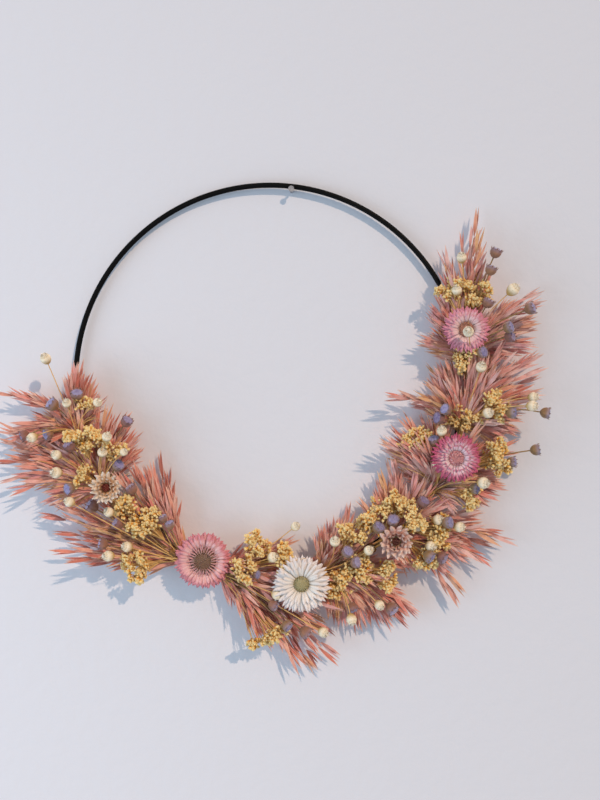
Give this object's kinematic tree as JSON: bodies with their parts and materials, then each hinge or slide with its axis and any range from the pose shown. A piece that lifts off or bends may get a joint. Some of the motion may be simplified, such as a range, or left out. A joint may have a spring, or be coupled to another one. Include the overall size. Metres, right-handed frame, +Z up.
{
  "type": "dried flower hoop wreath",
  "caption": "Round metal hoop with tied bunches of dried oats, broom, seed pods and button flowers on its lower half, and strawflowers over the joins.",
  "frame": {"origin": "the spot on the inner edge of the hoop's rod, near the top, that rests on the hook or nail", "axes": "+Z up, -Y towards the viewer, +Y towards the wall, +X to the viewer's right; the hoop lies in the XZ plane"},
  "size_m": [0.4098, 0.0488, 0.3661],
  "materials": {
    "black_metal": "matt black powder coat",
    "binding_wire": "dull brown enamelled wire",
    "pink_oats": "dusty pink dyed oats, dry and fibrous",
    "golden_broom": "golden yellow kernels, rough",
    "lilac_pods": "ribbed brown cups with lilac rims",
    "cream_buttons": "cream round heads, fibrous",
    "pink_bracts": "stiff papery bracts, slight sheen",
    "white_bracts": "stiff papery bracts, slight sheen",
    "magenta_bracts": "stiff papery bracts, slight sheen",
    "lilac_bracts": "stiff papery bracts, slight sheen",
    "cream_bracts": "stiff papery bracts, slight sheen",
    "beige_bracts": "stiff papery bracts, slight sheen",
    "flower_disc": "packed florets, rough"
  },
  "bodies": {
    "root": {"hoop": "black_metal", "oats_left_1": "pink_oats", "broom_left_1": "golden_broom", "pods_left_1": "lilac_pods", "buttons_left_1": "cream_buttons", "tie_left_1": "binding_wire", "oats_left_2": "pink_oats", "broom_left_2": "golden_broom", "pods_left_2": "lilac_pods", "buttons_left_2": "cream_buttons", "tie_left_2": "binding_wire", "oats_left_3": "pink_oats", "broom_left_3": "golden_broom", "pods_left_3": "lilac_pods", "buttons_left_3": "cream_buttons", "tie_left_3": "binding_wire", "oats_right_1": "pink_oats", "broom_right_1": "golden_broom", "pods_right_1": "lilac_pods", "buttons_right_1": "cream_buttons", "tie_right_1": "binding_wire", "oats_right_2": "pink_oats", "broom_right_2": "golden_broom", "pods_right_2": "lilac_pods", "buttons_right_2": "cream_buttons", "tie_right_2": "binding_wire", "oats_right_3": "pink_oats", "broom_right_3": "golden_broom", "pods_right_3": "lilac_pods", "buttons_right_3": "cream_buttons", "tie_right_3": "binding_wire", "oats_right_4": "pink_oats", "broom_right_4": "golden_broom", "pods_right_4": "lilac_pods", "buttons_right_4": "cream_buttons", "tie_right_4": "binding_wire", "oats_right_5": "pink_oats", "broom_right_5": "golden_broom", "pods_right_5": "lilac_pods", "buttons_right_5": "cream_buttons", "tie_right_5": "binding_wire", "oats_right_6": "pink_oats", "broom_right_6": "golden_broom", "pods_right_6": "lilac_pods", "buttons_right_6": "cream_buttons", "tie_right_6": "binding_wire", "strawflower_pink": "pink_bracts", "disc_pink": "flower_disc", "strawflower_white": "white_bracts", "disc_white": "flower_disc", "strawflower_magenta": "magenta_bracts", "disc_magenta": "flower_disc", "strawflower_lilac": "lilac_bracts", "disc_lilac": "flower_disc", "bud_cream": "cream_bracts", "bud_beige": "beige_bracts"}
  },
  "joints": []
}
